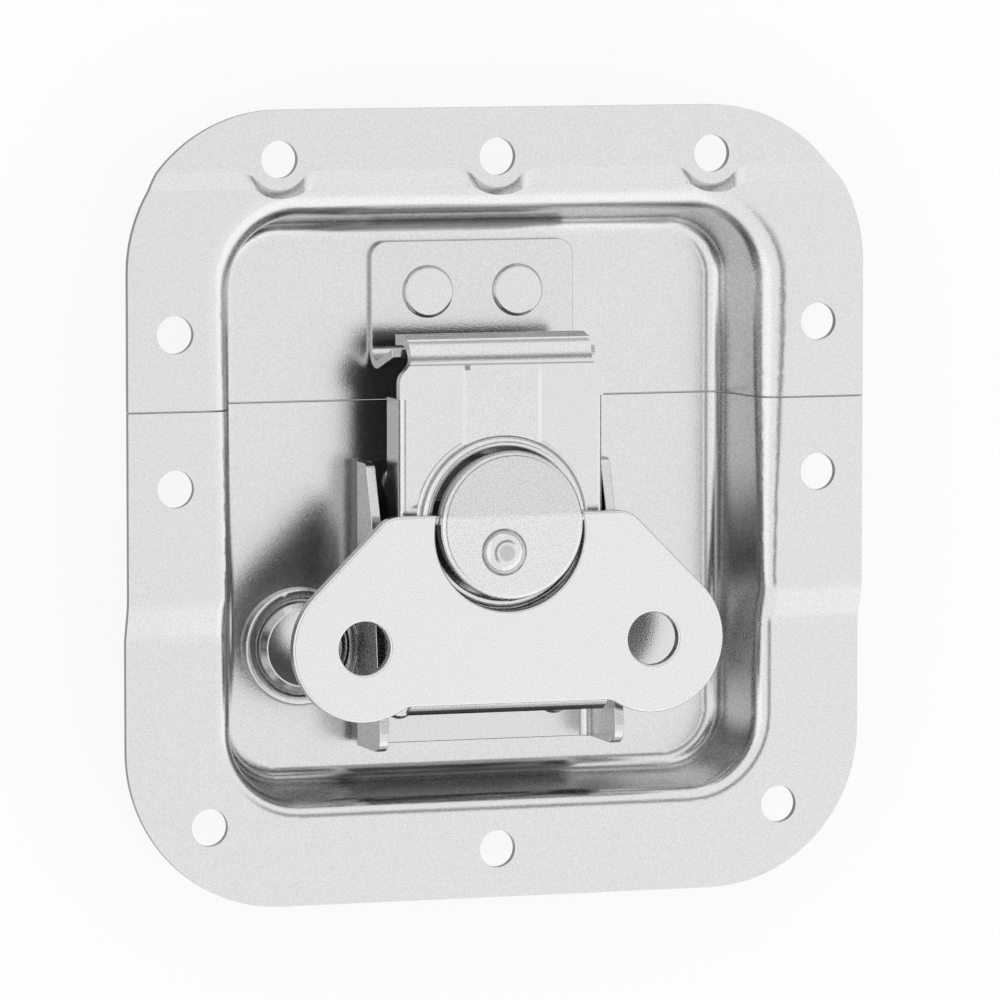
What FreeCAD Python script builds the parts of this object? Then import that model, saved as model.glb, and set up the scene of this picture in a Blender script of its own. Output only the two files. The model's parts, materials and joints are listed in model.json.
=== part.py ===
import FreeCAD, Part
import math
import os

# Recessed butterfly latch for a road case, lying on its back.
# +X right, +Y towards the lid half, +Z out of the dish. The origin is the middle of
# the seam between the two halves, on the back face of the flange's raised band.

# Half widths, each built on the one inside it
hook_half_width = 15.1
neck_step = 1.7
neck_half_width = hook_half_width - neck_step
keeper_half_width = hook_half_width
cheek_gap = 1.7
cheek_sheet = 1.4
guide_half_width = hook_half_width + cheek_gap + cheek_sheet
bracket_rivet_inset = 5.2
bracket_rivet_x = guide_half_width - cheek_sheet - bracket_rivet_inset
ear_radius = 8.5
ear_cheek_gap = 1.0
base_rivet_head_radius = 6.4
ear_x = guide_half_width + ear_cheek_gap + base_rivet_head_radius
ear_wall_gap = 3.4
recess_half_width = ear_x + ear_radius + ear_wall_gap

# Dish: two pressed halves of one sheet thickness
sheet = 1.2
dish_width = 109.0
dish_length = 112.0
lid_edge_y = 41.8
base_edge_y = lid_edge_y - dish_length
outline_radius = 22.5
seam_gap = 0.1
crank_offset = 1.6
lid_crank_y = lid_edge_y - 11.0
lid_crank_run = 2.4
lid_crank_blend = 4.0
base_crank_y = -27.0
base_crank_run = 5.0
base_crank_bend = 6.0

# Recess of the dish, sizes at its sharp inside corners
recess_depth = 14.0
lid_flange = 16.6
base_flange = 16.2
recess_lid_y = lid_edge_y - lid_flange
recess_base_y = base_edge_y + base_flange
recess_corner = 8.5
wall_draft = 8.0
floor_bend = 2.7
rim_bend = 2.7
lid_rim_bend = 4.4

# Rivet holes of the flange
hole_radius = 2.65
side_hole_x = dish_width / 2 - 6.8
side_hole_y = 10.75
lid_hole_x = 32.05
lid_hole_y = lid_edge_y - 6.95
base_corner_hole_x = dish_width / 2 - 12.05
base_corner_hole_y = base_edge_y + 11.6
base_middle_hole_y = base_edge_y + 6.9
hole_seat_radius = 4.3
hole_seat_run = 1.3

# Keeper: a plate riveted in the lid half, with a lip curled up and back
keeper_sheet = 1.2
keeper_top_y = recess_lid_y - 2.7
keeper_foot_y = 3.6
keeper_lip_height = 11.0
keeper_lip_lean = 3.1
keeper_bend = 2.0
keeper_corner = 2.3
keeper_rivet_x = 6.7
keeper_rivet_y = 15.3
keeper_head_radius = 3.75
keeper_head_flat = 3.4
keeper_head_height = 0.6
keeper_shank_radius = 2.2

# Rivet tails, all of one height under the floor
tail_height = 1.2

# Base plate with a round embossed ear at each side
base_sheet = 1.5
ear_base_gap = 10.7
ear_y = recess_base_y + ear_radius + ear_base_gap
ear_edge_round = 0.9
ear_groove_radius = 6.9
ear_groove_depth = 0.5
pad_inset = 2.8
base_pad_half_width = guide_half_width - pad_inset
pad_margin = 0.3
base_rivet_flat_radius = 5.5
base_rivet_head_height = 1.4
base_rivet_shank_radius = 4.0
base_rivet_tail_radius = 5.6

# Guide bracket: a U of sheet whose cheeks rise towards the base edge
guide_lid_y = -8.4
guide_base_gap = 5.2
guide_base_y = recess_base_y + guide_base_gap
guide_bend = 1.5
cheek_front_height = 8.1
cheek_knee_y = -16.0
cheek_knee_height = 10.8
cheek_back_height = 15.1
cheek_corner = 2.5
bracket_rivet_lid_y = guide_lid_y - 3.2
bracket_rivet_base_y = guide_base_y + 5.8
bracket_head_radius = 2.4
bracket_head_height = 0.9
bracket_shank_radius = 1.5
bracket_tail_radius = 2.6

# Cam: a crank turning in the bracket, and what it carries
axis_y = -16.7
throw = 3.95
rest_angle = -110.0
journal_radius = 4.5
running_fit = 0.1
bush_wall = 1.4
bush_flange_radius = 8.0
bush_flange_height = 1.0
spring_washer_height = 0.9
spring_washer_sheet = 0.4
crank_flange_radius = 9.0
crank_flange_height = 3.3
pin_radius = 3.9
spigot_radius = 2.9
clip_sheet = 0.6
clip_radius = 6.6
clip_groove_depth = 0.6
clip_well_gap = 0.9
axial_gap = 0.25

# Slider: the cross-slotted plate that the crank pin drives
slider_sheet = 1.5
slider_lift = 0.2
slider_wall_front = 2.6
slider_wall_back = 2.8
slider_guide_gap = 0.4
slider_ear_y = -18.6
slider_ear_length = 10.0
draw_travel = 7.4

# Hook plate: channel, neck, turned-down hook, collar and rib
hook_sheet = 1.5
hook_top = 14.4
hook_skirt = 8.4
hook_bend = 1.0
hook_shoulder_y = 1.0
hook_back_y = -30.0
neck_waist_y = 6.0
neck_flare = 2.0
neck_flare_round = 2.0
hook_reach_y = 10.1
hook_reach_lean = 0.4
hook_tip_height = 7.0
hook_nose_bend = 2.5
collar_inner = 10.8
collar_outer = 12.3
collar_height = 1.4
collar_round = 1.0
collar_root = 0.7
rib_half_width = 5.9
rib_height = 0.35
rib_side = 0.6
rib_lid_y = 5.6
skirt_tab_length = 4.0
skirt_tab_y = -24.6
fit = 0.05

# Wing carrier, front disc and the eccentric rivet that joins them to the crank
carrier_radius = 10.2
carrier_gap = 0.3
disc_radius = 10.5
disc_thickness = 1.3
disc_edge = 0.8
cam_rivet_shank = 2.0
cam_rivet_head = 3.15
cam_rivet_flat = 1.3
cam_rivet_height = 1.3

# Wing: two round lobes, each with a finger hole
wing_sheet = 1.5
wing_top_y = -15.15
wing_lobe_x = 21.4
wing_lobe_y = -33.5
wing_lobe_radius = 10.5
wing_hole_radius = 3.75
wing_bottom_y = -42.0
wing_shoulder_round = 4.0
wing_notch_round = 3.0
wing_cut_radius = 11.0
wing_cut_y = -17.9
wing_edge_round = 0.35
wing_lip_half_width = 14.6
wing_lip_drop = 1.1
wing_lip_run = 1.4
trunnion_radius = 0.7
trunnion_y = -15.9
trunnion_inner_x = 7.6
trunnion_fit = 0.1

# Levels worked out from the sizes above, z of each face
band_front = sheet
low_front = sheet - crank_offset
floor_front = sheet - recess_depth
floor_back = floor_front - sheet
web_bottom = floor_front + base_sheet
web_top = web_bottom + base_sheet
bush_top = web_top + bush_flange_height
crank_bottom = bush_top + spring_washer_height
crank_top = crank_bottom + crank_flange_height
slider_bottom = crank_top + slider_lift
slider_top = slider_bottom + slider_sheet
hook_front = floor_front + hook_top
collar_top = hook_front + collar_height
carrier_bottom = collar_top + carrier_gap
wing_back = carrier_bottom + 0.5
wing_front = wing_back + wing_sheet
disc_back = wing_front + running_fit
disc_front = disc_back + disc_thickness
trunnion_z = (wing_back + wing_front) / 2
pin_x = throw * math.cos(math.radians(rest_angle))
pin_y = axis_y + throw * math.sin(math.radians(rest_angle))

V = FreeCAD.Vector
UP = V(0, 0, 1)


def cylinder(radius, bottom, top, x=0.0, y=0.0):
    return Part.makeCylinder(radius, top - bottom, V(x, y, bottom))


def block(x0, x1, y0, y1, z0, z1):
    return Part.makeBox(x1 - x0, y1 - y0, z1 - z0, V(x0, y0, z0))


def prism(wire, depth):
    """Solid pushed from a closed flat wire along a vector."""
    return Part.Face(wire).extrude(depth)


def revolve(points, x, y):
    """Solid turned about a vertical axis at x, y from (radius, z) points."""
    corners = [V(x + r, y, z) for r, z in points]
    face = Part.Face(Part.makePolygon(corners + corners[:1]))
    return face.revolve(V(x, y, 0), UP, 360)


def rounded_wire(corners, radii):
    """Closed wire through 3-D corner points, each rounded by its own radius."""
    edges = []
    starts = []
    ends = []
    count = len(corners)
    for i, corner in enumerate(corners):
        before = (corners[i - 1] - corner).normalize()
        after = (corners[(i + 1) % count] - corner).normalize()
        half = before.getAngle(after) / 2
        if radii[i] <= 0:
            starts.append(corner)
            ends.append(corner)
            continue
        reach = radii[i] / math.tan(half)
        start = corner + before * reach
        end = corner + after * reach
        middle_line = (before + after).normalize()
        centre = corner + middle_line * (radii[i] / math.sin(half))
        middle = centre - middle_line * radii[i]
        edges.append((i, Part.Arc(start, middle, end).toShape()))
        starts.append(start)
        ends.append(end)
    for i in range(count):
        a = ends[i]
        b = starts[(i + 1) % count]
        if (b - a).Length > 1e-6:
            edges.append((i + 0.5, Part.makeLine(a, b)))
    edges.sort(key=lambda pair: pair[0])
    return Part.Wire([edge for _, edge in edges])


def rounded_rectangle(x0, x1, y0, y1, radius, z):
    corners = [V(x0, y0, z), V(x1, y0, z), V(x1, y1, z), V(x0, y1, z)]
    return rounded_wire(corners, [radius] * 4)


def offset_left(path, distance):
    """Points of an open 2-D path moved sideways to its left."""
    moved = []
    normals = []
    for (ax, ay), (bx, by) in zip(path, path[1:]):
        length = math.hypot(bx - ax, by - ay)
        normals.append((-(by - ay) / length, (bx - ax) / length))
    moved.append((path[0][0] + normals[0][0] * distance,
                  path[0][1] + normals[0][1] * distance))
    for i in range(1, len(path) - 1):
        (nx, ny), (mx, my) = normals[i - 1], normals[i]
        scale = distance / (1 + nx * mx + ny * my)
        moved.append((path[i][0] + (nx + mx) * scale, path[i][1] + (ny + my) * scale))
    moved.append((path[-1][0] + normals[-1][0] * distance,
                  path[-1][1] + normals[-1][1] * distance))
    return moved


def bent_sheet(path, inner_bend, thickness, place, depth):
    """Folded sheet: a 2-D path, thickened to its left, pushed along a vector."""
    other = offset_left(path, thickness)
    near = [0.0]
    far = [0.0]
    for (ax, ay), (bx, by), (cx, cy) in zip(path, path[1:], path[2:]):
        left_turn = (bx - ax) * (cy - by) - (by - ay) * (cx - bx) > 0
        near.append(inner_bend + thickness if left_turn else inner_bend)
        far.append(inner_bend if left_turn else inner_bend + thickness)
    near.append(0.0)
    far.append(0.0)
    corners = [place(u, v) for u, v in path] + [place(u, v) for u, v in reversed(other)]
    return prism(rounded_wire(corners, near + far[::-1]), depth)


def across(x):
    """Places (y, z) profile points on the plane at x."""
    return lambda y, z: V(x, y, z)


def along(y):
    """Places (x, z) profile points on the plane at y."""
    return lambda x, z: V(x, y, z)


def flange_block(drop, spread):
    """Block under the flange's front with its crank at the base side, lowered by drop."""
    low = low_front - drop
    high = band_front - drop
    bottom = floor_back - 10 - drop
    left = -dish_width / 2 - spread
    profile = [
        (base_edge_y - spread, bottom),
        (lid_edge_y + spread, bottom),
        (lid_edge_y + spread, high),
        (base_crank_y, high),
        (base_crank_y - base_crank_run, low),
        (base_edge_y - spread, low),
    ]
    bends = [0, 0, 0, base_crank_bend, base_crank_bend, 0]
    wire = rounded_wire([V(left, y, z) for y, z in profile], bends)
    return prism(wire, V(dish_width + 2 * spread, 0, 0))


def lid_step_line(rise, drop):
    """Foot of the lid side's step at a share of its rise, waved round each hole."""
    line_y = lid_crank_y + lid_crank_run * (1 - rise)
    seat = hole_seat_radius + hole_seat_run * rise
    z = low_front + crank_offset * rise - drop
    blend_y = line_y - lid_crank_blend
    reach = seat + lid_crank_blend
    aside = math.sqrt(reach ** 2 - (lid_hole_y - blend_y) ** 2)
    lean = lid_crank_blend / reach
    top = V(0, lid_crank_blend, 0)
    ends = []
    edges = []
    for x in (-lid_hole_x, 0, lid_hole_x):
        hole = V(x, lid_hole_y, z)
        before = V(x - aside, blend_y, z)
        after = V(x + aside, blend_y, z)
        into = before + (hole - before) * lean
        out = after + (hole - after) * lean
        deep = hole - V(0, seat, 0)
        half = (hole - before).normalize() + V(0, 1, 0)
        turn = V(half.x, half.y, 0).normalize() * lid_crank_blend
        mirrored = V(-turn.x, turn.y, 0)
        ends.append(before + top)
        ends.append(after + top)
        edges.append(Part.Arc(before + top, before + turn, into).toShape())
        edges.append(Part.Arc(into, deep, out).toShape())
        edges.append(Part.Arc(out, after + mirrored, after + top).toShape())
    wide = dish_width
    start = V(-wide, line_y, z)
    finish = V(wide, line_y, z)
    far = lid_edge_y + 20
    corners = [start, V(-wide, far, z), V(wide, far, z), finish]
    runs = [(start, ends[0]), (ends[1], ends[2]), (ends[3], ends[4]), (ends[5], finish)]
    for a, b in runs + list(zip(corners, corners[1:])):
        edges.append(Part.makeLine(a, b))
    return Part.Wire(Part.__sortEdges__(edges))


def lid_step(drop):
    """What the lid side's step leaves free above the sheet."""
    return Part.makeLoft([lid_step_line(0, drop), lid_step_line(1.2, drop)], True, True)


def recess_block(grow, depth):
    """Tapered pocket: wall offset outward by grow, floor at the given z."""
    slope = math.tan(math.radians(wall_draft))
    side = grow / math.cos(math.radians(wall_draft))

    def ring(z):
        out = side + (z - floor_front) * slope
        return rounded_rectangle(-recess_half_width - out, recess_half_width + out,
                                 recess_base_y - out, recess_lid_y + out,
                                 recess_corner + out, z)

    return Part.makeLoft([ring(depth), ring(band_front + 3)], True, True)


def pocketed(solid, pocket, floor, floor_radius, thinner):
    """Cuts the pocket and rounds its floor edge, and its rim more at the lid side."""
    body = solid.cut(pocket)
    floor_edges = [e for e in body.Edges if all(abs(v.Z - floor) < 0.01 for v in e.Vertexes)]
    body = body.makeFillet(floor_radius, floor_edges)
    bends = []
    for number, edge in enumerate(body.Edges, 1):
        box = edge.BoundBox
        inside = abs(box.Center.x) < recess_half_width + 5
        inside = inside and recess_base_y - 5 < box.YMin and box.YMax < recess_lid_y + 5
        if inside and box.ZMin > floor + 8:
            radii = []
            for end in (edge.FirstParameter, edge.LastParameter):
                at_lid = edge.valueAt(end).y > recess_lid_y - 1
                radii.append((lid_rim_bend if at_lid else rim_bend) - thinner)
            bends.append((number, radii[0], radii[1]))
    workshop = FreeCAD.newDocument("rim")
    blank = workshop.addObject("Part::Feature", "blank")
    blank.Shape = body
    rim = workshop.addObject("Part::Fillet", "rim")
    rim.Base = blank
    rim.Edges = bends
    workshop.recompute()
    body = rim.Shape.copy()
    FreeCAD.closeDocument(workshop.Name)
    return body


def whole_dish():
    front = pocketed(flange_block(0, 0), recess_block(0, floor_front), floor_front,
                     floor_bend, 0)
    back = pocketed(flange_block(sheet, 5), recess_block(sheet, floor_back), floor_back,
                    floor_bend + sheet, sheet)
    front = front.cut(lid_step(0))
    back = back.cut(lid_step(sheet))
    outline = rounded_rectangle(-dish_width / 2, dish_width / 2, base_edge_y, lid_edge_y,
                                outline_radius, floor_back - 5)
    dish = front.cut(back).common(prism(outline, V(0, 0, recess_depth + 10)))
    for x, y in flange_holes():
        dish = dish.cut(cylinder(hole_radius, floor_front, band_front + 1, x, y))
    return dish


def flange_holes():
    sides = [(sx * side_hole_x, sy * side_hole_y) for sx in (-1, 1) for sy in (-1, 1)]
    lid = [(x, lid_hole_y) for x in (-lid_hole_x, 0, lid_hole_x)]
    base = [(-base_corner_hole_x, base_corner_hole_y), (0, base_middle_hole_y),
            (base_corner_hole_x, base_corner_hole_y)]
    return sides + lid + base


def keeper_rivet_places():
    return {"left": (-keeper_rivet_x, keeper_rivet_y), "right": (keeper_rivet_x, keeper_rivet_y)}


def base_rivet_places():
    return {"left": (-ear_x, ear_y), "right": (ear_x, ear_y)}


def bracket_rivet_places():
    return {
        "upper_left": (-bracket_rivet_x, bracket_rivet_lid_y),
        "upper_right": (bracket_rivet_x, bracket_rivet_lid_y),
        "lower_left": (-bracket_rivet_x, bracket_rivet_base_y),
        "lower_right": (bracket_rivet_x, bracket_rivet_base_y),
    }


def pierce(solid, places, radius):
    for x, y in places.values():
        solid = solid.cut(cylinder(radius, floor_back - 5, hook_front, x, y))
    return solid


def half_space(y0, y1):
    """Block round all of the dish between two cross lines."""
    return block(-dish_width, dish_width, y0, y1, floor_back - 1, band_front + 1)


def upper_dish(dish):
    half = dish.common(half_space(seam_gap / 2, lid_edge_y + 1))
    return pierce(half, keeper_rivet_places(), keeper_shank_radius)


def lower_dish(dish):
    half = dish.common(half_space(base_edge_y - 1, -seam_gap / 2))
    half = pierce(half, base_rivet_places(), base_rivet_shank_radius)
    return pierce(half, bracket_rivet_places(), bracket_shank_radius)


def keeper_plate():
    """Plate on the floor, curled up at its foot into the lip that the hook grips."""
    tip_y = keeper_foot_y + keeper_lip_lean
    path = [(tip_y, floor_front + keeper_lip_height), (keeper_foot_y, floor_front),
            (keeper_top_y, floor_front)]
    plate = bent_sheet(path, keeper_bend, keeper_sheet, across(-keeper_half_width),
                       V(2 * keeper_half_width, 0, 0))
    outline = rounded_rectangle(-keeper_half_width, keeper_half_width, -10, keeper_top_y,
                                keeper_corner, floor_front - 1)
    plate = plate.common(prism(outline, V(0, 0, keeper_lip_height + 2)))
    return pierce(plate, keeper_rivet_places(), keeper_shank_radius)


def rivet(x, y, seat, head_radius, head_height, flat_radius, shank_radius, tail_radius):
    """Solid rivet: low head on its seat, shank through the floor, flat tail below."""
    points = [
        (0, floor_back - tail_height),
        (tail_radius - 0.4, floor_back - tail_height),
        (tail_radius, floor_back - tail_height + 0.4),
        (tail_radius, floor_back),
        (shank_radius, floor_back),
        (shank_radius, seat),
        (head_radius, seat),
        (head_radius, seat + head_height * 0.35),
        (flat_radius, seat + head_height),
        (0, seat + head_height),
    ]
    return revolve(points, x, y)


def keeper_rivet(x, y):
    seat = floor_front + keeper_sheet
    return rivet(x, y, seat, keeper_head_radius, keeper_head_height,
                 keeper_head_flat, keeper_shank_radius, keeper_head_radius)


def base_rivet(x, y):
    seat = floor_front + base_sheet
    return rivet(x, y, seat, base_rivet_head_radius, base_rivet_head_height,
                 base_rivet_flat_radius, base_rivet_shank_radius, base_rivet_tail_radius)


def bracket_rivet(x, y):
    return rivet(x, y, web_top, bracket_head_radius, bracket_head_height,
                 bracket_head_radius - 0.5, bracket_shank_radius, bracket_tail_radius)


def base_plate():
    """Strap with a round ear at each end and a pad under the bracket."""
    bottom = floor_front
    top = floor_front + base_sheet
    pad = rounded_rectangle(-base_pad_half_width, base_pad_half_width,
                            guide_base_y + pad_margin, guide_lid_y - pad_margin, 2.0, bottom)
    plate = prism(pad, V(0, 0, base_sheet))
    strap_half = ear_radius - ear_edge_round
    plate = plate.fuse(block(-ear_x, ear_x, ear_y - strap_half, ear_y + strap_half,
                             bottom, top))
    for x, y in base_rivet_places().values():
        ear = [
            (0, bottom),
            (ear_radius, bottom),
            (ear_radius, top - ear_edge_round),
            (ear_radius - ear_edge_round * 0.3, top - ear_edge_round * 0.3),
            (ear_radius - ear_edge_round, top),
            (ear_groove_radius + 0.2, top),
            (ear_groove_radius, top - ear_groove_depth),
            (base_rivet_head_radius - 0.3, top - ear_groove_depth),
            (base_rivet_head_radius - 0.5, top),
            (0, top),
        ]
        plate = plate.cut(cylinder(ear_radius - 0.2, bottom, top, x, y))
        plate = plate.fuse(revolve(ear, x, y))
        plate = plate.cut(cylinder(base_rivet_shank_radius, bottom - 1, top + 1, x, y))
    plate = plate.cut(cylinder(clip_radius + clip_well_gap, bottom - 1, top + 1, 0, axis_y))
    plate = pierce(plate, bracket_rivet_places(), bracket_shank_radius)
    return plate.removeSplitter()


def guide_bracket():
    """U bracket: flat web, and two cheeks whose front edges rise towards the base."""
    top = floor_front + cheek_back_height
    wide = guide_half_width
    path = [(wide, top), (wide, web_bottom), (-wide, web_bottom), (-wide, top)]
    length = guide_lid_y - guide_base_y
    bracket = bent_sheet([(x, z) for x, z in reversed(path)], guide_bend, cheek_sheet,
                         along(guide_base_y), V(0, length, 0))
    front = floor_front + cheek_front_height
    knee = floor_front + cheek_knee_height
    side = [
        V(-wide - 1, guide_base_y, web_bottom - 1),
        V(-wide - 1, guide_lid_y, web_bottom - 1),
        V(-wide - 1, guide_lid_y, front),
        V(-wide - 1, cheek_knee_y, knee),
        V(-wide - 1, guide_base_y, top),
    ]
    shape = prism(rounded_wire(side, [0, 0, 1.2, 6.0, cheek_corner]), V(2 * wide + 2, 0, 0))
    bracket = bracket.common(shape)
    hole = journal_radius + running_fit + bush_wall
    bracket = bracket.cut(cylinder(hole, web_bottom - 1, web_top + 1, 0, axis_y))
    return pierce(bracket, bracket_rivet_places(), bracket_shank_radius)


def pivot_bush():
    bore = journal_radius + running_fit
    points = [
        (bore, web_bottom),
        (bore + bush_wall, web_bottom),
        (bore + bush_wall, web_top),
        (bush_flange_radius, web_top),
        (bush_flange_radius, bush_top),
        (bore, bush_top),
    ]
    return revolve(points, 0, axis_y)


def spring_washer():
    """Conical washer between the bush and the crank: it takes up the end play."""
    inner = journal_radius + 3 * running_fit
    points = [
        (inner, bush_top),
        (inner + 0.4, bush_top),
        (bush_flange_radius, crank_bottom - spring_washer_sheet),
        (bush_flange_radius, crank_bottom),
        (bush_flange_radius - 0.4, crank_bottom),
        (inner, bush_top + spring_washer_sheet),
    ]
    return revolve(points, 0, axis_y)


def clip_levels():
    top = web_bottom - axial_gap
    return top - clip_sheet, top


def cam_shaft():
    """Crank: journal and flange on the turning axis, pin and spigot off it."""
    clip_bottom, clip_top = clip_levels()
    end = clip_bottom - 0.3
    groove = journal_radius - clip_groove_depth
    points = [
        (0, end),
        (journal_radius, end),
        (journal_radius, clip_bottom - fit),
        (groove, clip_bottom - fit),
        (groove, clip_top + fit),
        (journal_radius, clip_top + fit),
        (journal_radius, crank_bottom),
        (crank_flange_radius, crank_bottom),
        (crank_flange_radius, crank_top - 0.4),
        (crank_flange_radius - 0.4, crank_top),
        (0, crank_top),
    ]
    shaft = revolve(points, 0, axis_y)
    shaft = shaft.fuse(cylinder(pin_radius, crank_top - 0.5, carrier_bottom, pin_x, pin_y))
    shaft = shaft.fuse(spigot(spigot_radius, carrier_bottom - 0.5, disc_back))
    return shaft.cut(cylinder(cam_rivet_shank + fit, crank_bottom + 1, disc_back + 1,
                              pin_x, pin_y))


def spigot(radius, bottom, top):
    """Round spigot with two flats, which keys the carrier to the crank."""
    post = cylinder(radius, bottom, top, pin_x, pin_y)
    flat = radius * 0.88
    return post.common(block(pin_x - 9, pin_x + 9, pin_y - flat, pin_y + flat, bottom, top))


def pivot_clip():
    """Open retaining ring in the groove of the journal."""
    bottom, top = clip_levels()
    inner = journal_radius - clip_groove_depth + fit
    ring = cylinder(clip_radius, bottom, top, 0, axis_y)
    ring = ring.cut(cylinder(inner, bottom - 1, top + 1, 0, axis_y))
    return ring.cut(block(-inner * 0.55, inner * 0.55, axis_y, axis_y + 10,
                          bottom - 1, top + 1))


def slot_box():
    """Cross slot in the slider: reach of the crank pin, plus the open pivot's play."""
    play = pin_radius + fit * 2
    steps = 36
    lowest = 0.0
    highest = 0.0
    for i in range(steps + 1):
        angle = math.radians(rest_angle + 180.0 * i / steps)
        ahead = throw * math.sin(angle) - (pin_y - axis_y) - draw_travel * i / steps
        lowest = min(lowest, ahead)
        highest = max(highest, ahead)
    return (pin_x - play, throw + play, pin_y + lowest - play, pin_y + highest + play)


def slider_plate():
    """Cross-slotted plate on the crank's flange, its ears between the cheeks."""
    x0, x1, y0, y1 = slot_box()
    inner = hook_half_width - hook_sheet - fit
    front = y1 + slider_wall_front
    back = y0 - slider_wall_back
    plate = block(-inner, inner, back, front, slider_bottom, slider_top)
    guide = guide_half_width - cheek_sheet - slider_guide_gap
    ears = rounded_rectangle(-guide, guide, slider_ear_y - slider_ear_length, slider_ear_y,
                             0.8, slider_bottom)
    plate = plate.fuse(prism(ears, V(0, 0, slider_sheet)))
    slot = rounded_rectangle(x0, x1, y0, y1, pin_radius, slider_bottom - 1)
    plate = plate.cut(prism(slot, V(0, 0, slider_sheet + 2)))
    for side in (-1, 1):
        a = side * (hook_half_width + fit)
        b = side * (hook_half_width - hook_sheet - fit)
        plate = plate.cut(block(min(a, b), max(a, b), skirt_tab_y - fit,
                                skirt_tab_y + skirt_tab_length + fit,
                                slider_bottom - 1, slider_top + 1))
    return plate.removeSplitter()


def hook_channel():
    """Face with both skirts folded down, standing on the slider at the back."""
    skirt = floor_front + hook_skirt
    wide = hook_half_width
    path = [(wide, skirt), (wide, hook_front), (-wide, hook_front), (-wide, skirt)]
    length = hook_shoulder_y - hook_back_y
    channel = bent_sheet(path, hook_bend, hook_sheet, along(hook_back_y), V(0, length, 0))
    seat_y = slider_ear_y + 0.6
    step = block(-wide - 1, wide + 1, hook_back_y - 1, seat_y, skirt - 1, slider_top)
    channel = channel.cut(step)
    for side in (-1, 1):
        a = side * wide
        b = side * (wide - hook_sheet)
        channel = channel.fuse(block(min(a, b), max(a, b), skirt_tab_y,
                                     skirt_tab_y + skirt_tab_length,
                                     slider_bottom, slider_top + 0.2))
    return channel


def hook_nose():
    """Neck, waisted from the body's width, and the hook turned down at its end."""
    tip = floor_front + hook_tip_height
    path = [(hook_reach_y - hook_reach_lean, tip), (hook_reach_y, hook_front),
            (hook_shoulder_y, hook_front)]
    nose = bent_sheet(path, hook_nose_bend, hook_sheet, across(-hook_half_width),
                      V(2 * hook_half_width, 0, 0))
    plan = []
    for side, order in ((-1, 1), (1, -1)):
        edge = [
            V(side * hook_half_width, hook_shoulder_y, tip - 1),
            V(side * hook_half_width, neck_waist_y - neck_flare, tip - 1),
            V(side * neck_half_width, neck_waist_y, tip - 1),
            V(side * neck_half_width, hook_reach_y + 1, tip - 1),
        ]
        plan += edge[::order]
    bends = [0, neck_flare_round, neck_flare_round, 0]
    return nose.common(prism(rounded_wire(plan, bends * 2), V(0, 0, hook_top)))


def hook_rib():
    """Shallow rib pressed along the middle of the face."""
    back = axis_y + collar_outer - 1.5
    low = rib_half_width
    high = rib_half_width - rib_side
    section = [
        V(-low, back, hook_front - 0.3),
        V(low, back, hook_front - 0.3),
        V(low, back, hook_front),
        V(high, back, hook_front + rib_height),
        V(-high, back, hook_front + rib_height),
        V(-low, back, hook_front),
    ]
    rib = prism(Part.makePolygon(section + section[:1]), V(0, rib_lid_y - back, 0))
    ramp = [
        V(-low - 1, rib_lid_y - 1.2, hook_front + rib_height + 0.1),
        V(-low - 1, rib_lid_y + 1, hook_front + rib_height + 0.1),
        V(-low - 1, rib_lid_y + 1, hook_front - 0.6),
    ]
    return rib.cut(prism(Part.makePolygon(ramp + ramp[:1]), V(2 * low + 2, 0, 0)))


def hook_collar():
    """Drawn collar round the cam, hollow at its root and rounded over at its top."""
    z0 = hook_front - hook_sheet
    corners = [
        V(collar_inner, axis_y, z0),
        V(collar_outer + collar_root, axis_y, z0),
        V(collar_outer + collar_root, axis_y, hook_front),
        V(collar_outer, axis_y, hook_front),
        V(collar_outer, axis_y, collar_top),
        V(collar_inner, axis_y, collar_top),
    ]
    wire = rounded_wire(corners, [0, 0, 0, collar_root, collar_round, 0.3])
    return Part.Face(wire).revolve(V(0, axis_y, 0), UP, 360)


def hook_plate():
    plate = hook_channel().fuse(hook_nose()).fuse(hook_rib())
    plate = plate.cut(cylinder(collar_outer - 0.2, hook_front - hook_sheet - 1,
                               hook_front + 3, 0, axis_y))
    return plate.fuse(hook_collar()).removeSplitter()


def wing_carrier():
    """Round plate on the crank's spigot, with a groove for each trunnion."""
    carrier = cylinder(carrier_radius, carrier_bottom, disc_back, 0, axis_y)
    carrier = carrier.cut(spigot(spigot_radius + fit, carrier_bottom - 1, disc_back + 1))
    groove = trunnion_radius + trunnion_fit
    for side in (-1, 1):
        start = side * (trunnion_inner_x - trunnion_fit)
        run = V(side, 0, 0)
        bore = Part.makeCylinder(groove, 6, V(start, trunnion_y, trunnion_z), run)
        mouth = block(min(start, start + side * 6), max(start, start + side * 6),
                      trunnion_y - groove, trunnion_y + groove, trunnion_z, disc_back + 1)
        carrier = carrier.cut(bore).cut(mouth)
    return carrier


def cam_disc():
    disc = cylinder(disc_radius, disc_back, disc_front, 0, axis_y)
    rim = [e for e in disc.Edges if abs(e.BoundBox.ZMin - disc_front) < 0.01
           and abs(e.BoundBox.ZMax - disc_front) < 0.01]
    disc = disc.makeFillet(disc_edge, rim)
    return disc.cut(cylinder(cam_rivet_shank + fit, disc_back - 1, disc_front + 1,
                             pin_x, pin_y))


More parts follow.
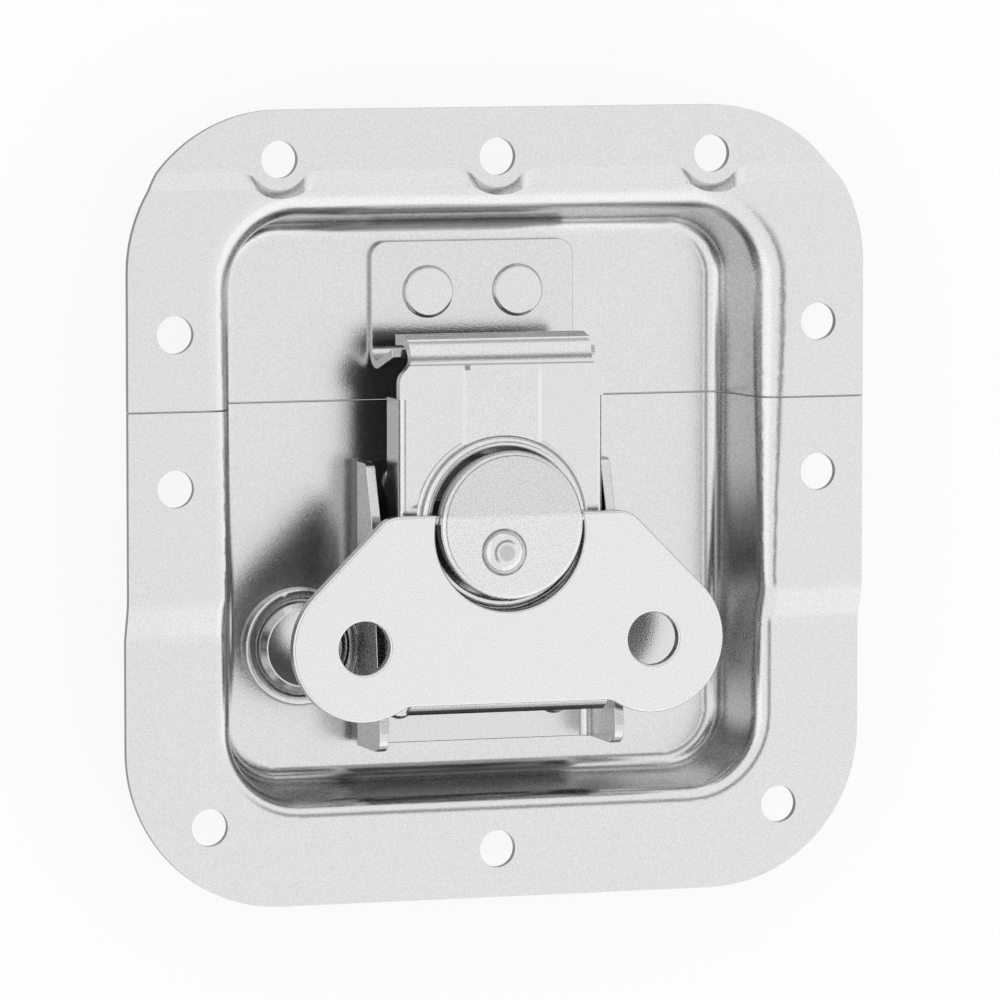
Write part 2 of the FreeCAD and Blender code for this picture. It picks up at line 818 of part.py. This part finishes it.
def cam_rivet():
    """Off-centre rivet with a low domed head on the disc."""
    dome = [
        V(pin_x + cam_rivet_head, pin_y, disc_front),
        V(pin_x + cam_rivet_head * 0.82, pin_y, disc_front + cam_rivet_height * 0.62),
        V(pin_x + cam_rivet_flat, pin_y, disc_front + cam_rivet_height),
    ]
    foot = crank_bottom + 1 + axial_gap
    centre_top = V(pin_x, pin_y, disc_front + cam_rivet_height)
    centre_foot = V(pin_x, pin_y, foot)
    shank_foot = V(pin_x + cam_rivet_shank, pin_y, foot)
    shank_top = V(pin_x + cam_rivet_shank, pin_y, disc_front)
    edges = [
        Part.makeLine(centre_foot, shank_foot),
        Part.makeLine(shank_foot, shank_top),
        Part.makeLine(shank_top, dome[0]),
        Part.Arc(dome[0], dome[1], dome[2]).toShape(),
        Part.makeLine(dome[2], centre_top),
        Part.makeLine(centre_top, centre_foot),
    ]
    return Part.Face(Part.Wire(edges)).revolve(V(pin_x, pin_y, 0), UP, 360)


def wing_outline():
    """Plan of the wing before its lobes, holes and cut-out: the middle panel."""
    lean = wing_lobe_radius * math.sin(math.radians(45))
    tangent_x = wing_lobe_x + lean
    tangent_y = wing_lobe_y + lean
    shoulder_x = tangent_x - (wing_top_y - tangent_y)
    corners = [
        V(-shoulder_x, wing_top_y, wing_back),
        V(-tangent_x, tangent_y, wing_back),
        V(-wing_lobe_x, wing_lobe_y, wing_back),
        V(-wing_lobe_x + 3, wing_bottom_y, wing_back),
        V(wing_lobe_x - 3, wing_bottom_y, wing_back),
        V(wing_lobe_x, wing_lobe_y, wing_back),
        V(tangent_x, tangent_y, wing_back),
        V(shoulder_x, wing_top_y, wing_back),
    ]
    radii = [wing_shoulder_round, 0, 0, 0, 0, 0, 0, wing_shoulder_round]
    return rounded_wire(corners, radii)


def wing_plate():
    plate = prism(wing_outline(), V(0, 0, wing_sheet))
    for side in (-1, 1):
        plate = plate.fuse(cylinder(wing_lobe_radius, wing_back, wing_front,
                                    side * wing_lobe_x, wing_lobe_y))
    plate = plate.removeSplitter()
    notches = []
    for edge in plate.Edges:
        box = edge.BoundBox
        upright = box.ZLength > wing_sheet * 0.9 and box.XLength < 0.01 and box.YLength < 0.01
        if upright and abs(box.YMin - wing_bottom_y) < 0.01:
            notches.append(edge)
    plate = plate.makeFillet(wing_notch_round, notches)
    plate = plate.cut(cylinder(wing_cut_radius, wing_back - 1, wing_front + 1, 0, wing_cut_y))
    for side in (-1, 1):
        plate = plate.cut(cylinder(wing_hole_radius, wing_back - 1, wing_front + 1,
                                   side * wing_lobe_x, wing_lobe_y))
    edges = [e for e in plate.Edges if abs(e.BoundBox.ZMin - wing_front) < 0.01
             and e.BoundBox.ZLength < 0.01 and e.BoundBox.YMax < wing_top_y + 0.01]
    return plate.makeFillet(wing_edge_round, edges)


def wing_lip():
    """Stiffening lip folded back along the straight bottom edge."""
    y0 = wing_bottom_y + 1.0
    y1 = wing_bottom_y - wing_lip_run
    profile = [
        (y0, wing_back),
        (wing_bottom_y + 0.2, wing_back),
        (y1 + 0.3, wing_back - wing_lip_drop),
        (y1, wing_back - wing_lip_drop + 0.5),
        (wing_bottom_y - 0.3, wing_front - 0.5),
        (wing_bottom_y + 0.3, wing_front - 0.1),
        (y0, wing_front - 0.1),
    ]
    corners = [V(-wing_lip_half_width, y, z) for y, z in profile]
    return prism(Part.makePolygon(corners + corners[:1]), V(2 * wing_lip_half_width, 0, 0))


def butterfly_wing():
    wing = wing_plate().fuse(wing_lip())
    for side in (-1, 1):
        start = side * trunnion_inner_x
        wing = wing.fuse(Part.makeCylinder(trunnion_radius, 5.0,
                                           V(start, trunnion_y, trunnion_z), V(side, 0, 0)))
    return wing


def pieces():
    dish = whole_dish()
    made = {
        "upper_dish": upper_dish(dish),
        "lower_dish": lower_dish(dish),
        "keeper_plate": keeper_plate(),
        "base_plate": base_plate(),
        "guide_bracket": guide_bracket(),
        "pivot_bush": pivot_bush(),
        "spring_washer": spring_washer(),
        "cam_shaft": cam_shaft(),
        "pivot_clip": pivot_clip(),
        "slider_plate": slider_plate(),
        "hook_plate": hook_plate(),
        "wing_carrier": wing_carrier(),
        "cam_disc": cam_disc(),
        "cam_rivet": cam_rivet(),
        "butterfly_wing": butterfly_wing(),
    }
    for name, (x, y) in keeper_rivet_places().items():
        made["keeper_rivet_" + name] = keeper_rivet(x, y)
    for name, (x, y) in base_rivet_places().items():
        made["base_rivet_" + name] = base_rivet(x, y)
    for name, (x, y) in bracket_rivet_places().items():
        made["bracket_rivet_" + name] = bracket_rivet(x, y)
    return made


os.makedirs("parts", exist_ok=True)
for node, shape in pieces().items():
    if len(shape.Solids) != 1 or not shape.isValid():
        raise ValueError(node + " is not one valid solid")
    shape.Solids[0].exportStep("parts/" + node + ".step")
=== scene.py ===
import bmesh
import bpy
import json
import math
from mathutils import Matrix, Vector

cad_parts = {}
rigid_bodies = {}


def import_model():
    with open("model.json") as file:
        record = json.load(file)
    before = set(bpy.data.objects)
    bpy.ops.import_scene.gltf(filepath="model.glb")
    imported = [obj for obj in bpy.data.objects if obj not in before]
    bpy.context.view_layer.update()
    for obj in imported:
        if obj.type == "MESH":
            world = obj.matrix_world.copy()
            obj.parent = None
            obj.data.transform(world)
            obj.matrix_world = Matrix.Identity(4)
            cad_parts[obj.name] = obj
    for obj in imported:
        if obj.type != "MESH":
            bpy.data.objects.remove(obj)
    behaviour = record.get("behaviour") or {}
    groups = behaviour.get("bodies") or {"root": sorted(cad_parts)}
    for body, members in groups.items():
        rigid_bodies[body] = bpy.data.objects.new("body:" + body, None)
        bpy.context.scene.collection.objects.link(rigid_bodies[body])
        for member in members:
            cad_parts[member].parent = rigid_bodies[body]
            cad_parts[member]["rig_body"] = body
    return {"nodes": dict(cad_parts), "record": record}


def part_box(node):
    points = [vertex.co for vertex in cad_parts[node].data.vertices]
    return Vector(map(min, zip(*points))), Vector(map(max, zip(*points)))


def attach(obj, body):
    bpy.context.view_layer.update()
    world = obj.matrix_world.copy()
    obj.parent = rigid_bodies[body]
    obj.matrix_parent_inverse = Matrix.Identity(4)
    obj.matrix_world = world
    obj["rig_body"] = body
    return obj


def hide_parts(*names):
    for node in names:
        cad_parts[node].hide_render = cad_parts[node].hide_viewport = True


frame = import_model()
bpy.context.view_layer.update()
scene = bpy.context.scene
scene.view_settings.view_transform = "Standard"

MM = 0.001
RECORD = frame["record"]
FLOOR_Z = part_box("base_rivet_left")[0].z
HOOK_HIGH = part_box("hook_plate")[1]
RIVET_AXIS = sum(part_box("cam_rivet"), Vector((0, 0, 0))) / 2

# Camera: from the left and a little from the lid side, with a long lens
VIEW_FROM_LEFT = 18.41
VIEW_FROM_LID = 5.03
VIEW_DISTANCE = 1.127
VIEW_TARGET = Vector((3.64, -14.60, -10.23)) * MM
VIEW_LENS = 284.6

# Studio: a wide softbox that the flat faces mirror, brighter screens low down round it,
# a dim gap on the camera's side, and less light near the floor. A pair is where a change
# starts and where it is complete: angles in degrees, otherwise parts of a unit direction.
SOFTBOX_LEVEL = 1.10
SCREEN_LEVEL = 1.32
SCREEN_FROM = (0.32, 0.46)
LID_SCREEN_FROM = (0.91, 0.98)
LEFT_SCREEN_FROM = (0.62, 0.85)
GAP_LEVEL = 0.35
GAP_START = (12.5, 16.0)
GAP_END = (28.0, 37.0)
GAP_SIDE = Vector((-0.75, 0.66, 0))
GAP_SIDE_FROM = (-0.06, 0.14)
HORIZON_LEVEL = 0.08
HORIZON_HEIGHT = (0.0, 0.16)
FLOOR_REACH = 3.0
FLOOR_WHITENESS = 0.85

# Zinc: sizes of its grain and clouds, what they do to its relief and roughness, and how
# flat a face is where it stops being drawn or sheared
FINE_GRAIN = 0.23 * MM
COARSE_GRAIN = 0.36 * MM
CLOUD_SIZE = 11 * MM
RELIEF_HEIGHT = 0.02 * MM
COARSE_RELIEF = 1.1
ROUGHER_BY_GRAIN = 0.10
ROUGHER_BY_CLOUD = 0.08
ROUGHER_BY_DRAWING = 0.04
DRAWN_FLATNESS = (0.30, 0.80)
DRAWN_DARKER = 0.15
SHEARED_FLATNESS = (0.06, 0.12)
SHEARED_DARKER = 0.75
# How far down a face turns before it starts to get painted shade, and where that shade is full
UNDERSIDE_SHADE_FROM = (0.2, 0.8)

# Marks: three numbers are a middle, a half width and a fade, and two are where a change
# starts and where it is complete
FLANGE_HEIGHT = (-2.5 * MM, -2.0 * MM)
SEAM_DIRT = (0.0, 0.12 * MM, 0.06 * MM)
SEAM_DARKER = 0.5
HOOK_FACE_HEIGHT = (HOOK_HIGH.z - 2.4 * MM, HOOK_HIGH.z - 2.0 * MM)
PRESS_LINE = (5.75 * MM, 0.05 * MM, 0.14 * MM)
PRESS_LINE_SLOPE = 0.004
PRESS_LINE_DARKER = 0.45
NICK_X = (-5.1 * MM, 0.3 * MM, 0.2 * MM)
NICK_Y = (5.3 * MM, 0.25 * MM, 0.2 * MM)
NICK_DARKER = 0.6
# Painted shade on the lower part of the wing's folded lip
WING_FOLD_SHADE_Y = (-43.2 * MM, 0.45 * MM, 0.15 * MM)
WING_FOLD_SHADE_X = (0.0, 14.65 * MM, 0.05 * MM)
WING_FOLD_SHADE_DARKER = 0.85
# Painted shade on the disc's half beyond the shaft, and speckle along its edge
SHADED_HALF_FROM = (-15.7 * MM, -14.9 * MM)
SHADED_HALF_DARKER = 0.13
SHADE_EDGE_LINE = (-15.3 * MM, 0.2 * MM, 0.5 * MM)
SHADE_EDGE_GRAIN = 0.22 * MM
SHADE_EDGE_CONTRAST = 0.5
RIVET_DIRT = (3.22 * MM, 0.07 * MM, 0.1 * MM)
RIVET_DIRT_PATCHES = 1.2 * MM
RIVET_DIRT_CONTRAST = 1.2
RIVET_DIRT_DARKER = 0.6
RIVET_HOLLOW = (0.0, 1.0 * MM, 0.3 * MM)
RIVET_HOLLOW_DARKER = 0.25
# Painted shade on the rim of the crank rivet's head
RIVET_RIM_SHADE_FROM = (2.85 * MM, 3.1 * MM)
RIVET_RIM_SHADE_TO = (3.3 * MM, 3.5 * MM)
RIVET_RIM_SHADE_DARKER = 0.3

# Edges and bends. The hook plate's sizes are those of its solid, apart from the two crisp
# radii, which only the finished copy has.
WELD_GAP = 0.002 * MM
FLAT_WITHIN = math.radians(0.3)
SHARP_FROM = math.radians(28)
BREAK_FROM = math.radians(40)
BROKEN_EDGE = 0.1 * MM
HOOK_SHEET = 1.5 * MM
HOOK_COLLAR = 1.4 * MM
HOOK_BEND = 2.5 * MM
CRISP_BEND = 1.0 * MM
CRISP_INNER_BEND = 0.15 * MM


# ---------------------------------------------------------------- shader maths

class Value:
    """A socket of a node tree that takes part in Python expressions."""

    def __init__(self, tree, socket=None):
        self.tree = tree
        self.socket = socket

    def node(self, kind, terms=(), output=0, settings=None, **values):
        """A new node: terms go to its first sockets, values to sockets by name."""
        made = self.tree.nodes.new(kind)
        for key, value in (settings or {}).items():
            setattr(made, key, value)
        pairs = list(zip(made.inputs, terms))
        pairs += [(made.inputs[name.replace("_", " ")], value) for name, value in values.items()]
        for socket, value in pairs:
            if isinstance(value, Value):
                self.tree.links.new(value.socket, socket)
            else:
                socket.default_value = value
        return Value(self.tree, made.outputs[output] if made.outputs else None)

    def maths(self, operation, *terms):
        """A Math node on this value and the terms."""
        return self.node("ShaderNodeMath", (self,) + terms, settings={"operation": operation})

    def vector(self, operation, *terms, output=0):
        """A Vector Math node on this value and the terms."""
        return self.node("ShaderNodeVectorMath", (self,) + terms, output,
                         {"operation": operation})

    def __add__(self, other):
        return self.maths("ADD", other)

    def __sub__(self, other):
        return self.maths("SUBTRACT", other)

    def __mul__(self, other):
        return self.maths("MULTIPLY", other)

    def __rsub__(self, other):
        return (self * -1.0) + other

    __radd__ = __add__
    __rmul__ = __mul__

    def smooth(self, low, high):
        """0 below low, 1 above high and smooth between them."""
        return self.node("ShaderNodeMapRange", output="Result",
                         settings={"interpolation_type": "SMOOTHSTEP"},
                         Value=self, From_Min=low, From_Max=high)

    def within(self, middle, half, soft):
        """1 inside middle +- half, fading out over soft."""
        return 1.0 - (self - middle).maths("ABSOLUTE").smooth(half, half + soft)

    def noise(self, size, detail=2.0, roughness=0.6):
        """Noise from -0.5 to 0.5 with features of a size in metres."""
        return self.node("ShaderNodeTexNoise", Vector=self, Scale=1.0 / size, Detail=detail,
                         Roughness=roughness) - 0.5

    def axis(self, name):
        """One coordinate of a place or a direction."""
        return self.node("ShaderNodeSeparateXYZ", (self,), name)


def fresh_tree(owner):
    """Empties the owner's node tree and starts an expression in it."""
    owner.use_nodes = True
    owner.node_tree.nodes.clear()
    return Value(owner.node_tree)


# ---------------------------------------------------------------- camera and studio

def camera_axes():
    """Right, up and back directions of the camera."""
    left = math.radians(VIEW_FROM_LEFT)
    lid = math.radians(VIEW_FROM_LID)
    back = Vector((-math.sin(left) * math.cos(lid), math.sin(lid),
                   math.cos(left) * math.cos(lid)))
    right = Vector((0, 1, 0)).cross(back).normalized()
    return right, back.cross(right), back


def make_camera():
    """Camera at the photograph's angle and distance."""
    right, up, back = camera_axes()
    data = bpy.data.cameras.new("camera")
    data.lens = VIEW_LENS
    data.sensor_width = 36.0
    data.clip_start = 0.05
    data.clip_end = 20.0
    camera = bpy.data.objects.new("camera", data)
    turn = Matrix((right, up, back)).transposed()
    camera.matrix_world = Matrix.Translation(VIEW_TARGET + back * VIEW_DISTANCE) @ turn.to_4x4()
    scene.collection.objects.link(camera)
    scene.camera = camera


def make_world():
    """Surroundings that the metal mirrors, white where the camera sees them."""
    world = bpy.data.worlds.new("studio")
    scene.world = world
    start = fresh_tree(world)
    place = start.node("ShaderNodeTexCoord", output="Generated")
    unit = place.vector("NORMALIZE")
    back = camera_axes()[2]
    middle = Vector((-back.x, -back.y, back.z))
    facing = unit.vector("DOT_PRODUCT", middle, output="Value")
    aside = unit.vector("DOT_PRODUCT", GAP_SIDE, output="Value") - middle.dot(GAP_SIDE)

    def beyond(angles):
        """0 nearer than the angles to what the flat faces mirror, 1 further away."""
        near, far = (math.cos(math.radians(angle)) for angle in angles)
        return 1.0 - facing.smooth(far, near)

    screens = (aside * -1.0).smooth(*SCREEN_FROM) + unit.axis("Y").smooth(*LID_SCREEN_FROM)
    screens = screens + (unit.axis("X") * -1.0).smooth(*LEFT_SCREEN_FROM)
    screens = screens.maths("MINIMUM", 1.0)
    level = screens * (SCREEN_LEVEL - SOFTBOX_LEVEL) + SOFTBOX_LEVEL
    gap = beyond(GAP_START) * (1.0 - beyond(GAP_END)) * aside.smooth(*GAP_SIDE_FROM)
    lit = unit.axis("Z").smooth(*HORIZON_HEIGHT)
    level = level + gap * (GAP_LEVEL - level)
    level = lit * (level - HORIZON_LEVEL) + HORIZON_LEVEL
    seen = start.node("ShaderNodeLightPath", output="Is Camera Ray")
    level = level + seen * (1.0 - level)
    light = start.node("ShaderNodeBackground", Color=(1, 1, 1, 1), Strength=level)
    start.node("ShaderNodeOutputWorld", Surface=light)


def make_floor():
    """Pale paper that keeps the part's shadow and looks white."""
    corners = [(x * FLOOR_REACH, y * FLOOR_REACH, FLOOR_Z)
               for x, y in ((-1, -1), (1, -1), (1, 1), (-1, 1))]
    mesh = bpy.data.meshes.new("studio_floor")
    mesh.from_pydata(corners, [], [(0, 1, 2, 3)])
    floor = bpy.data.objects.new("studio_floor", mesh)
    scene.collection.objects.link(floor)
    material = bpy.data.materials.new("studio_paper")
    start = fresh_tree(material)
    seen = start.node("ShaderNodeLightPath", output="Is Camera Ray")
    for ray in ("Is Glossy Ray", "Is Transmission Ray"):
        seen = seen + start.node("ShaderNodeLightPath", output=ray)
    paper = start.node("ShaderNodeBsdfDiffuse", Color=(0.9, 0.9, 0.9, 1))
    white = start.node("ShaderNodeEmission", Color=(1, 1, 1, 1), Strength=1.0)
    share = seen.maths("MINIMUM", 1.0) * FLOOR_WHITENESS
    mixed = start.node("ShaderNodeMixShader", (share, paper, white))
    start.node("ShaderNodeOutputMaterial", Surface=mixed)
    mesh.materials.append(material)


# ---------------------------------------------------------------- finishes

def zinc(name, colour, roughness, grain=0.42, cloud=0.05, bump=0.5, underside_shade=0.5, marks=None):
    """Bright zinc on rolled steel: fine grain, clouds, coarser grain where it is drawn,
    and painted shade on the faces that turn down."""
    material = bpy.data.materials.new(name)
    start = fresh_tree(material)
    place = start.node("ShaderNodeTexCoord", output="Object")
    upright = start.node("ShaderNodeTexCoord", output="Normal").axis("Z")
    flatness = upright.maths("ABSOLUTE")
    turned_down = (upright * -1.0).smooth(*UNDERSIDE_SHADE_FROM)
    drawn = 1.0 - flatness.smooth(*DRAWN_FLATNESS)
    fine = place.noise(FINE_GRAIN, 1.0)
    coarse = place.noise(COARSE_GRAIN, 3.0) * drawn
    broad = place.noise(CLOUD_SIZE, 3.0)
    tone = 1.0 + fine * grain + broad * cloud + coarse
    # Faces turned down get painted shade, and drawn faces are darker
    tone = tone * (1.0 - turned_down * underside_shade) * (1.0 - drawn * DRAWN_DARKER)
    if marks:
        tone = tone * marks(place, flatness)
    shade = start.node("ShaderNodeVectorMath", (colour,), settings={"operation": "SCALE"},
                       Scale=tone)
    relief = start.node("ShaderNodeBump", Strength=bump, Distance=RELIEF_HEIGHT,
                        Height=fine + coarse * COARSE_RELIEF)
    dullness = fine * ROUGHER_BY_GRAIN + broad * ROUGHER_BY_CLOUD + drawn * ROUGHER_BY_DRAWING
    steel = start.node("ShaderNodeBsdfPrincipled", Base_Color=shade, Metallic=1.0,
                       Roughness=roughness + dullness, Normal=relief)
    start.node("ShaderNodeOutputMaterial", Surface=steel)
    return material


def dish_marks(place, flatness):
    """Sheared edges of raw steel round the outline and in the rivet holes, and dirt in the
    seam between the halves."""
    sheared = (1.0 - flatness.smooth(*SHEARED_FLATNESS)) * place.axis("Z").smooth(*FLANGE_HEIGHT)
    seam = place.axis("Y").within(*SEAM_DIRT)
    return (1.0 - sheared * SHEARED_DARKER) * (1.0 - seam * SEAM_DARKER)


def hook_marks(place, flatness):
    """Press line across the neck where the hook's bend starts, and a nick beside it."""
    x, y, z = (place.axis(name) for name in "XYZ")
    front = z.smooth(*HOOK_FACE_HEIGHT)
    line = (y + x * PRESS_LINE_SLOPE).within(*PRESS_LINE)
    nick = x.within(*NICK_X) * y.within(*NICK_Y)
    return (1.0 - line * front * PRESS_LINE_DARKER) * (1.0 - nick * front * NICK_DARKER)


def wing_fold_shade(place, flatness):
    """Painted shade in the fold below the wing's straight edge."""
    fold = place.axis("Y").within(*WING_FOLD_SHADE_Y) * place.axis("X").within(*WING_FOLD_SHADE_X)
    return 1.0 - fold * WING_FOLD_SHADE_DARKER


def from_rivet(place):
    """Distance from the axis of the crank's rivet."""
    x = place.axis("X") - RIVET_AXIS.x
    y = place.axis("Y") - RIVET_AXIS.y
    return (x * x + y * y).maths("SQRT")


def disc_shade_and_dirt(place, flatness):
    """Painted shade on the half beyond the shaft, speckle along the edge of that shade,
    and dirt round the rivet's head."""
    y = place.axis("Y")
    shaded_half = y.smooth(*SHADED_HALF_FROM)
    line = y.within(*SHADE_EDGE_LINE) * place.noise(SHADE_EDGE_GRAIN, 2.0)
    patches = 1.0 + place.noise(RIVET_DIRT_PATCHES, 1.0) * RIVET_DIRT_CONTRAST
    dirt = from_rivet(place).within(*RIVET_DIRT) * patches
    # The half beyond the shaft gets painted shade, with speckle along its edge
    halves = 1.0 - shaded_half * SHADED_HALF_DARKER + line * SHADE_EDGE_CONTRAST
    return halves * (1.0 - dirt * RIVET_DIRT_DARKER)


def rivet_hollow_and_rim_shade(place, flatness):
    """Torn bottom of the crank rivet's hollow, and painted shade on its rim."""
    out = from_rivet(place)
    hollow = out.within(*RIVET_HOLLOW)
    rim = out.smooth(*RIVET_RIM_SHADE_FROM) * (1.0 - out.smooth(*RIVET_RIM_SHADE_TO))
    # The rim gets painted shade
    return (1.0 - hollow * RIVET_HOLLOW_DARKER) * (1.0 - rim * RIVET_RIM_SHADE_DARKER)


FINISHES = {
    "dish_zinc": zinc("bright_zinc_on_dish", (0.69, 0.695, 0.70), 0.22, underside_shade=0.0,
                      marks=dish_marks),
    "plate_zinc": zinc("bright_zinc_on_plates", (0.66, 0.665, 0.67), 0.19),
    "hook_zinc": zinc("bright_zinc_on_hook", (0.68, 0.685, 0.69), 0.18, marks=hook_marks),
    "wing_zinc": zinc("satin_zinc_on_wing", (0.74, 0.745, 0.75), 0.21, marks=wing_fold_shade),
    "disc_zinc": zinc("satin_zinc_on_disc", (0.71, 0.715, 0.72), 0.20, grain=0.7, bump=0.6,
                      marks=disc_shade_and_dirt),
    "rivet_steel": zinc("set_rivet_steel", (0.68, 0.685, 0.69), 0.18, marks=rivet_hollow_and_rim_shade),
    "turned_steel": zinc("turned_steel", (0.66, 0.665, 0.67), 0.52),
    "spring_steel": zinc("spring_steel", (0.40, 0.41, 0.43), 0.35),
    "bush_bronze": zinc("sintered_bronze", (0.62, 0.45, 0.27), 0.5, grain=0.8),
}


# ---------------------------------------------------------------- pieces

def slot_of(node):
    """Material slot that the record gives a piece."""
    return next(part["material_slot"] for part in RECORD["subparts"] if part["node"] == node)


def tighten_bends(shape):
    """Draws the hook plate's long side bends in to the crisp radius of a coined fold."""
    side = HOOK_HIGH.x
    front = HOOK_HIGH.z - HOOK_COLLAR
    on_skin = 0.02 * MM
    past_bend = -0.001 * MM
    for vertex in shape.verts:
        out = abs(vertex.co.x) - (side - HOOK_BEND)
        up = vertex.co.z - (front - HOOK_BEND)
        reach = math.hypot(out, up)
        outer_skin = abs(reach - HOOK_BEND) < on_skin
        inner_skin = abs(reach - (HOOK_BEND - HOOK_SHEET)) < on_skin
        if out < past_bend or up < past_bend or not (outer_skin or inner_skin):
            continue
        depth, radius = (0.0, CRISP_BEND) if outer_skin else (HOOK_SHEET, CRISP_INNER_BEND)
        new_x = side - depth - radius + radius * out / reach
        vertex.co.x = math.copysign(new_x, vertex.co.x)
        vertex.co.z = front - depth - radius + radius * up / reach


def dress(node):
    """A finished copy of a CAD piece: joined faces, broken edges and smooth bends."""
    source = frame["nodes"][node]
    mesh = bpy.data.meshes.new(node + "_finished")
    shape = bmesh.new()
    shape.from_mesh(source.data)
    bmesh.ops.remove_doubles(shape, verts=shape.verts, dist=WELD_GAP)
    bmesh.ops.dissolve_limit(shape, angle_limit=FLAT_WITHIN, verts=shape.verts,
                             edges=shape.edges)
    if node == "hook_plate":
        tighten_bends(shape)
    for face in shape.faces:
        face.smooth = True
    shape.to_mesh(mesh)
    shape.free()
    custom = mesh.attributes.get("custom_normal")
    if custom:
        mesh.attributes.remove(custom)
    mesh.set_sharp_from_angle(angle=SHARP_FROM)
    mesh.materials.clear()
    mesh.materials.append(FINISHES[slot_of(node)])
    piece = bpy.data.objects.new(node + "_finished", mesh)
    scene.collection.objects.link(piece)
    bevel = piece.modifiers.new("broken_edge", "BEVEL")
    bevel.limit_method = "ANGLE"
    bevel.angle_limit = BREAK_FROM
    bevel.width = BROKEN_EDGE
    bevel.segments = 2
    weight = piece.modifiers.new("flat_faces_stay_flat", "WEIGHTED_NORMAL")
    weight.keep_sharp = True
    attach(piece, source["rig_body"])
    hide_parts(node)


make_camera()
make_world()
make_floor()
for node in sorted(frame["nodes"]):
    dress(node)

bpy.context.view_layer.update()
